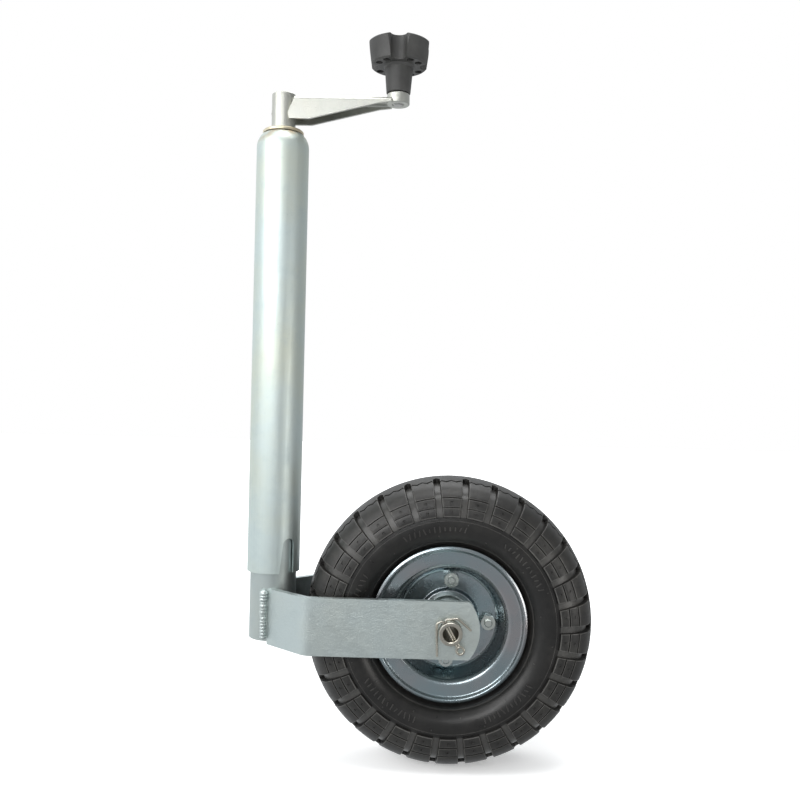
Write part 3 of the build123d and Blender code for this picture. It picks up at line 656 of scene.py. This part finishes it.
def weld_bead(mesh, foot, top_z, low_z, radius, seed):
    """One upright weld run: overlapping scales, uneven width, and a blunt blob at its top."""
    rough = random.Random(seed)
    rings = []
    z = top_z
    phase = 0.0
    while z > low_z:
        scale = phase % 1.0
        if scale < 1.0 / WELD_STEPS - 1e-9 and len(rings) % WELD_STEPS == 0:
            drift_x = rough.uniform(-WELD_DRIFT, WELD_DRIFT) * MM
            drift_y = rough.uniform(-WELD_DRIFT, WELD_DRIFT) * MM
            swell = rough.uniform(0.9, 1.1)
        top = min(1.0, 0.45 + (top_z - z) / WELD_TOP_TAPER)
        end = min(1.0, 0.4 + (z - low_z) / WELD_END_TAPER)
        ripple = 0.90 + 0.14 * math.sin(math.pi * (0.15 + 0.85 * scale))
        size = radius * swell * ripple * top * end
        if top_z - z < WELD_BLOB_DEPTH:
            size *= WELD_BLOB_SWELL
        ring = []
        for k in range(WELD_SIDES):
            turn = 2 * math.pi * k / WELD_SIDES
            x = foot[0] + drift_x + size * math.cos(turn)
            y = foot[1] + drift_y + size * math.sin(turn)
            ring.append(mesh.verts.new((x, y, z)))
        rings.append(ring)
        z -= WELD_PITCH / WELD_STEPS
        phase += 1.0 / WELD_STEPS
    for a, b in zip(rings, rings[1:]):
        for k in range(WELD_SIDES):
            n = (k + 1) % WELD_SIDES
            mesh.faces.new((a[k], a[n], b[n], b[k]))
    mesh.faces.new(list(reversed(rings[0])))
    mesh.faces.new(rings[-1])


# Each arm leaves the inner tube at this slant.  A weld is (along the arm, out from it, radius) in mm.
FORK_SLANT = math.radians(40.8)
WELD_CORNERS = ((9.6, 19.0, 3.3), (19.2, 9.6, 2.6))


def arm_welds():
    """Four weld runs, two where each arm meets the inner tube."""
    mesh = bmesh.new()
    low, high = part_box("weld_beads")
    seed = 5
    for along, out, radius in WELD_CORNERS:
        x = (along * math.cos(FORK_SLANT) - out * math.sin(FORK_SLANT)) * MM
        y = (along * math.sin(FORK_SLANT) + out * math.cos(FORK_SLANT)) * MM
        for side in (-1, 1):
            weld_bead(mesh, (x, side * y), high.z + 0.0005, low.z, radius * MM, seed)
            seed += 1
    return mesh


welds = finish_piece("weld_runs", arm_welds(), "fork", "zinc_fork", sharp=60.0)
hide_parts("weld_beads")

# ---------------------------------------------------------------- CAD nodes keep their shape
SLOT_OF = {part["node"]: part["material_slot"] for part in frame["record"]["subparts"]}
for name, node in frame["nodes"].items():
    node.data.materials.clear()
    node.data.materials.append(MATERIALS[FINISH_OF_NODE.get(name, SLOT_OF[name])])


# ---------------------------------------------------------------- floor, light and camera
FLOOR_HALF = 6.0
FLOOR_GAP = 0.0004
# (distance from the tube's axis, glow) where the floor's glow starts and stops rising
FLOOR_GLOW_NEAR = (0.35, 0.34)
FLOOR_GLOW_FAR = (0.9, 1.0)
# The photo's camera, as solved from the edges of the tube, arm, rim, axle and washer
CAMERA_PLACE = (0.12792, -0.79724, -0.04287)
CAMERA_RIGHT = (0.99958, 0.01794, 0.0227)
CAMERA_FORWARD = (-0.0180, 0.99984, 0.0025)
LENS = 38.87
SENSOR = 36.0


def studio_floor():
    """Wide white floor that glows, more weakly near the object: a painted shade round the object, which
    also lets its shadow show.
    """
    material = bpy.data.materials.new("floor_white")
    material.use_nodes = True
    nodes = Nodes(material.node_tree)
    out = nodes.add("ShaderNodeOutputMaterial")
    shader = nodes.add("ShaderNodeBsdfPrincipled")
    nodes.tree.links.new(shader.outputs["BSDF"], out.inputs["Surface"])
    place = nodes.add("ShaderNodeTexCoord").outputs["Object"]
    cloud = nodes.noise(place, 3.0, 3.0)
    white = nodes.mix(cloud, (0.86, 0.86, 0.86), (0.88, 0.88, 0.88))
    nodes.tree.links.new(white, shader.inputs["Base Color"])
    shader.inputs["Roughness"].default_value = 0.8
    shader.inputs["Emission Color"].default_value = (1.0, 1.0, 1.0, 1.0)
    away = nodes.add("ShaderNodeVectorMath", {"Vector": place}, operation="LENGTH").outputs["Value"]
    (near, near_glow), (far, far_glow) = FLOOR_GLOW_NEAR, FLOOR_GLOW_FAR
    # The floor's glow is painted light, dimmer near the object as a painted shade round it.
    glow = nodes.ramp(away, near, far, near_glow, far_glow)
    nodes.tree.links.new(glow, shader.inputs["Emission Strength"])
    mesh = bmesh.new()
    bmesh.ops.create_grid(mesh, x_segments=8, y_segments=8, size=FLOOR_HALF)
    data = bpy.data.meshes.new("studio_floor")
    mesh.to_mesh(data)
    mesh.free()
    floor = bpy.data.objects.new("studio_floor", data)
    bpy.context.scene.collection.objects.link(floor)
    floor.location = (0.0, 0.0, GROUND_Z - FLOOR_GAP)
    data.materials.append(material)
    floor.visible_glossy = False
    # The tyre always stands on the floor, so the floor goes down with the fork when it is wound out.
    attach(floor, "fork")


def studio_world():
    """Soft even light, brighter from the left, from above and from behind; pure white to the camera."""
    world = bpy.data.worlds.new("studio")
    bpy.context.scene.world = world
    world.use_nodes = True
    nodes = Nodes(world.node_tree)
    out = nodes.add("ShaderNodeOutputWorld")
    towards = nodes.add("ShaderNodeTexCoord").outputs["Generated"]
    split = nodes.add("ShaderNodeSeparateXYZ", {"Vector": towards})
    left = nodes.ramp(split.outputs["X"], -0.9, 0.8, 1.05, 0.45)
    front = nodes.ramp(split.outputs["Y"], -0.8, 0.5, 0.62, 1.0)
    up = nodes.ramp(split.outputs["Z"], -0.7, 0.8, 1.0, 1.15)
    level = nodes.math("MULTIPLY", nodes.math("MULTIPLY", left, front), up)
    light = nodes.add("ShaderNodeBackground", {"Strength": level})
    light.inputs["Color"].default_value = (0.95, 0.98, 1.0, 1.0)
    shown = nodes.add("ShaderNodeBackground")
    shown.inputs["Color"].default_value = (1.0, 1.0, 1.0, 1.0)
    path = nodes.add("ShaderNodeLightPath")
    both = nodes.add("ShaderNodeMixShader")
    nodes.tree.links.new(path.outputs["Is Camera Ray"], both.inputs["Fac"])
    nodes.tree.links.new(light.outputs["Background"], both.inputs[1])
    nodes.tree.links.new(shown.outputs["Background"], both.inputs[2])
    nodes.tree.links.new(both.outputs["Shader"], out.inputs["Surface"])


def softbox(name, place, aim, width, height, power, colour=(1.0, 1.0, 1.0)):
    """Rectangular area light at place, facing aim."""
    lamp = bpy.data.lights.new(name, "AREA")
    lamp.shape = "RECTANGLE"
    lamp.size, lamp.size_y = width, height
    lamp.energy = power
    lamp.color = colour
    holder = bpy.data.objects.new(name, lamp)
    bpy.context.scene.collection.objects.link(holder)
    holder.location = place
    holder.rotation_mode = "QUATERNION"
    holder.rotation_quaternion = (Vector(aim) - Vector(place)).to_track_quat("-Z", "Y")


def studio_camera():
    """The photo's camera, looking almost straight along +Y."""
    lens = bpy.data.cameras.new("view")
    lens.lens = LENS
    lens.sensor_width = SENSOR
    lens.clip_start, lens.clip_end = 0.01, 30.0
    camera = bpy.data.objects.new("view", lens)
    bpy.context.scene.collection.objects.link(camera)
    right = Vector(CAMERA_RIGHT).normalized()
    forward = Vector(CAMERA_FORWARD)
    forward = (forward - right * forward.dot(right)).normalized()
    up = right.cross(forward)
    turn = Matrix((right, up, -forward)).transposed()
    camera.rotation_mode = "QUATERNION"
    camera.rotation_quaternion = turn.to_quaternion()
    camera.location = CAMERA_PLACE
    bpy.context.scene.camera = camera


studio_floor()
studio_world()
# name, place, aim, width, height, watts and colour
softbox("key_left", (-1.25, -0.95, 0.75), (0.08, 0.0, -0.05), 0.9, 1.5, 12.0, (1.0, 0.995, 0.98))
softbox("top_back", (0.2, 0.75, 1.35), (0.1, 0.0, -0.05), 1.4, 0.8, 9.0)
softbox("low_right", (1.3, -0.9, -0.15), (0.15, 0.0, -0.22), 0.5, 0.6, 4.0, (1.0, 0.97, 0.93))
softbox("top_front", (0.16, -0.42, 1.15), (0.16, 0.0, -0.22), 0.9, 0.35, 6.0)
softbox("front_high", (-0.25, -1.1, 0.30), (0.16, 0.0, -0.26), 0.8, 0.30, 5.0)
studio_camera()
bpy.context.scene.view_settings.view_transform = "Standard"
bpy.context.scene.view_settings.look = "None"
